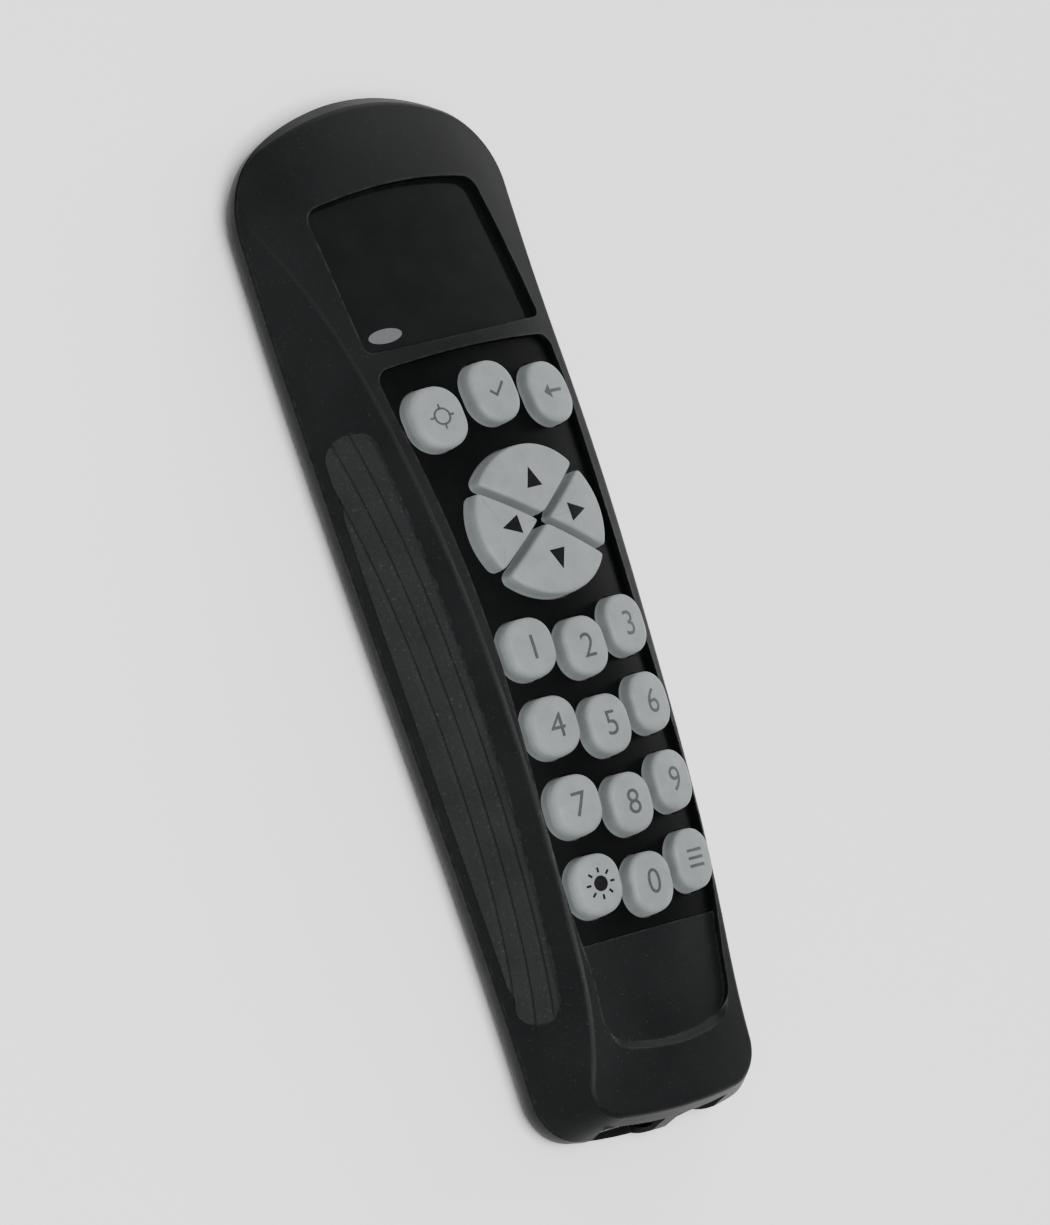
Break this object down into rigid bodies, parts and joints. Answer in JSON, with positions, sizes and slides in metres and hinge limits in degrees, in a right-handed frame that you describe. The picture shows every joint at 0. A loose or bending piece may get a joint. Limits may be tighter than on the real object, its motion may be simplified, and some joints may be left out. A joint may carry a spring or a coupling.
{
  "type": "telescope hand controller",
  "caption": "Handheld telescope controller: arched case with sunk display window, ribbed grips, round direction pad and number keys, two modular sockets.",
  "frame": {"origin": "middle of the outer box, on the plane of the flat back that it rests on", "axes": "+X to the right across the keys, +Y from the cord end to the display end, +Z out of the key face"},
  "size_m": [0.06, 0.187, 0.0288],
  "materials": {
    "case_plastic": "fine moulded grain",
    "grip_rubber": "matt",
    "plate_plastic": "satin",
    "key_silicone": "matt silicone",
    "window_smoke": "polished, smoked",
    "foam": "matt",
    "bezel_metal": "black, satin",
    "display_glass": "polished",
    "light_box": "milky",
    "board": "solder mask",
    "chip": "moulded",
    "metal_can": "satin",
    "led": "clear red",
    "socket_plastic": "moulded",
    "contact_gold": "plated",
    "ribbon": "film",
    "screw_steel": "black zinc",
    "label_film": "printed film"
  },
  "bodies": {
    "case": {"rear_shell": "case_plastic", "front_shell": "case_plastic", "right_grip": "grip_rubber", "left_grip": "grip_rubber", "key_plate": "plate_plastic", "key_mat": "key_silicone", "display_window": "window_smoke", "window_mask": "foam", "display_bezel": "bezel_metal", "display_glass": "display_glass", "display_light": "light_box", "contact_strips": "foam", "display_board": "board", "display_ribbon": "ribbon", "main_board": "board", "key_lights": "led", "control_chip": "chip", "memory_chip": "chip", "line_chip": "chip", "crystal": "metal_can", "capacitors": "metal_can", "cord_socket": "socket_plastic", "cord_socket_contacts": "contact_gold", "data_socket": "socket_plastic", "data_socket_contacts": "contact_gold", "case_screws": "screw_steel", "board_screws": "screw_steel", "rear_label": "label_film"},
    "key_top_left_body": {"key_top_left": "key_silicone"},
    "key_top_centre_body": {"key_top_centre": "key_silicone"},
    "key_top_right_body": {"key_top_right": "key_silicone"},
    "key_up_body": {"key_up": "key_silicone"},
    "key_left_body": {"key_left": "key_silicone"},
    "key_right_body": {"key_right": "key_silicone"},
    "key_down_body": {"key_down": "key_silicone"},
    "key_1_body": {"key_1": "key_silicone"},
    "key_2_body": {"key_2": "key_silicone"},
    "key_3_body": {"key_3": "key_silicone"},
    "key_4_body": {"key_4": "key_silicone"},
    "key_5_body": {"key_5": "key_silicone"},
    "key_6_body": {"key_6": "key_silicone"},
    "key_7_body": {"key_7": "key_silicone"},
    "key_8_body": {"key_8": "key_silicone"},
    "key_9_body": {"key_9": "key_silicone"},
    "key_light_body": {"key_light": "key_silicone"},
    "key_0_body": {"key_0": "key_silicone"},
    "key_list_body": {"key_list": "key_silicone"}
  },
  "joints": [
    {"name": "key_top_left_press", "type": "slide", "parent": "case", "child": "key_top_left_body", "axis": [0, 0, -1], "range_m": [0, 0.0012], "stiffness_N_per_m": 400, "springref_m": -0.0005},
    {"name": "key_top_centre_press", "type": "slide", "parent": "case", "child": "key_top_centre_body", "axis": [0, 0, -1], "range_m": [0, 0.0012], "stiffness_N_per_m": 400, "springref_m": -0.0005},
    {"name": "key_top_right_press", "type": "slide", "parent": "case", "child": "key_top_right_body", "axis": [0, 0, -1], "range_m": [0, 0.0012], "stiffness_N_per_m": 400, "springref_m": -0.0005},
    {"name": "key_up_press", "type": "slide", "parent": "case", "child": "key_up_body", "axis": [0, 0, -1], "range_m": [0, 0.0012], "stiffness_N_per_m": 400, "springref_m": -0.0005},
    {"name": "key_left_press", "type": "slide", "parent": "case", "child": "key_left_body", "axis": [0, 0, -1], "range_m": [0, 0.0012], "stiffness_N_per_m": 400, "springref_m": -0.0005},
    {"name": "key_right_press", "type": "slide", "parent": "case", "child": "key_right_body", "axis": [0, 0, -1], "range_m": [0, 0.0012], "stiffness_N_per_m": 400, "springref_m": -0.0005},
    {"name": "key_down_press", "type": "slide", "parent": "case", "child": "key_down_body", "axis": [0, 0, -1], "range_m": [0, 0.0012], "stiffness_N_per_m": 400, "springref_m": -0.0005},
    {"name": "key_1_press", "type": "slide", "parent": "case", "child": "key_1_body", "axis": [0, 0, -1], "range_m": [0, 0.0012], "stiffness_N_per_m": 400, "springref_m": -0.0005},
    {"name": "key_2_press", "type": "slide", "parent": "case", "child": "key_2_body", "axis": [0, 0, -1], "range_m": [0, 0.0012], "stiffness_N_per_m": 400, "springref_m": -0.0005},
    {"name": "key_3_press", "type": "slide", "parent": "case", "child": "key_3_body", "axis": [0, 0, -1], "range_m": [0, 0.0012], "stiffness_N_per_m": 400, "springref_m": -0.0005},
    {"name": "key_4_press", "type": "slide", "parent": "case", "child": "key_4_body", "axis": [0, 0, -1], "range_m": [0, 0.0012], "stiffness_N_per_m": 400, "springref_m": -0.0005},
    {"name": "key_5_press", "type": "slide", "parent": "case", "child": "key_5_body", "axis": [0, 0, -1], "range_m": [0, 0.0012], "stiffness_N_per_m": 400, "springref_m": -0.0005},
    {"name": "key_6_press", "type": "slide", "parent": "case", "child": "key_6_body", "axis": [0, 0, -1], "range_m": [0, 0.0012], "stiffness_N_per_m": 400, "springref_m": -0.0005},
    {"name": "key_7_press", "type": "slide", "parent": "case", "child": "key_7_body", "axis": [0, 0, -1], "range_m": [0, 0.0012], "stiffness_N_per_m": 400, "springref_m": -0.0005},
    {"name": "key_8_press", "type": "slide", "parent": "case", "child": "key_8_body", "axis": [0, 0, -1], "range_m": [0, 0.0012], "stiffness_N_per_m": 400, "springref_m": -0.0005},
    {"name": "key_9_press", "type": "slide", "parent": "case", "child": "key_9_body", "axis": [0, 0, -1], "range_m": [0, 0.0012], "stiffness_N_per_m": 400, "springref_m": -0.0005},
    {"name": "key_light_press", "type": "slide", "parent": "case", "child": "key_light_body", "axis": [0, 0, -1], "range_m": [0, 0.0012], "stiffness_N_per_m": 400, "springref_m": -0.0005},
    {"name": "key_0_press", "type": "slide", "parent": "case", "child": "key_0_body", "axis": [0, 0, -1], "range_m": [0, 0.0012], "stiffness_N_per_m": 400, "springref_m": -0.0005},
    {"name": "key_list_press", "type": "slide", "parent": "case", "child": "key_list_body", "axis": [0, 0, -1], "range_m": [0, 0.0012], "stiffness_N_per_m": 400, "springref_m": -0.0005}
  ]
}
